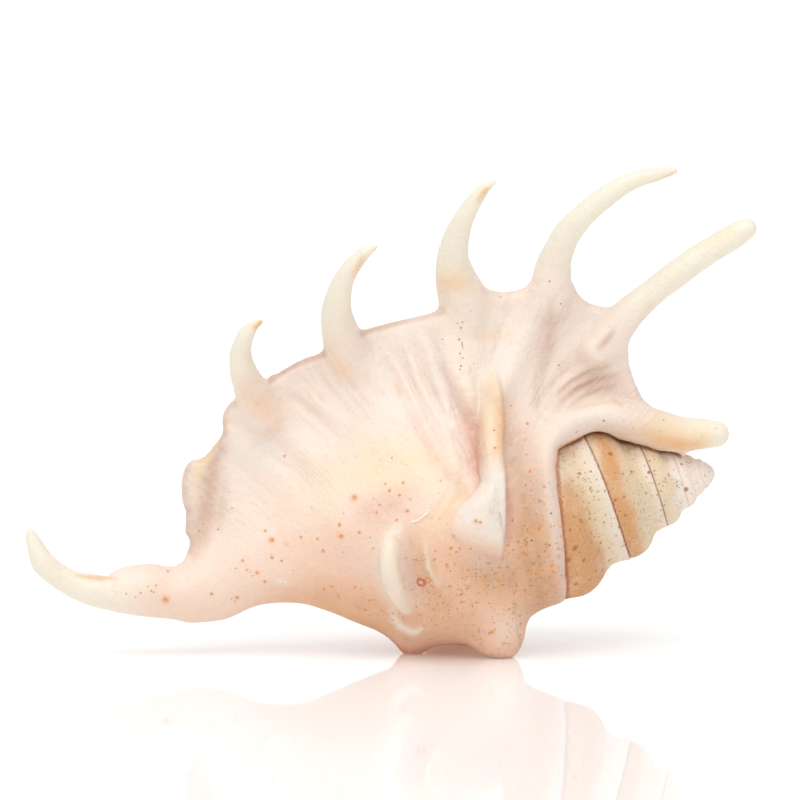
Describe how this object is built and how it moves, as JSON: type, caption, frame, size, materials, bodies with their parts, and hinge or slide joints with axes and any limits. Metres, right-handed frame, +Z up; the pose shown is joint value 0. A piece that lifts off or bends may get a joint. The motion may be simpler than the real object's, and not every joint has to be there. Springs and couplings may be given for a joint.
{
  "type": "spider conch shell",
  "caption": "Coiled sea shell with a flared lip, long curved digits along its edge and a hooked canal; decorative object for an aquarium or a shelf.",
  "frame": {"origin": "centre of the bounding box in plan, on the surface that the shell rests on", "axes": "+X along the shell towards the spire, the canal at -X; -Y is the side of the back (dorsal side) and +Y the side of the aperture; +Z up, with the flared lip and its digits on top"},
  "size_m": [0.1818, 0.0606, 0.1225],
  "materials": {
    "shell": "worn, softly glossy shell: pale peach with cream digits, orange-brown specks and a tan spire"
  },
  "bodies": {
    "root": {"shell": "shell"}
  },
  "joints": []
}
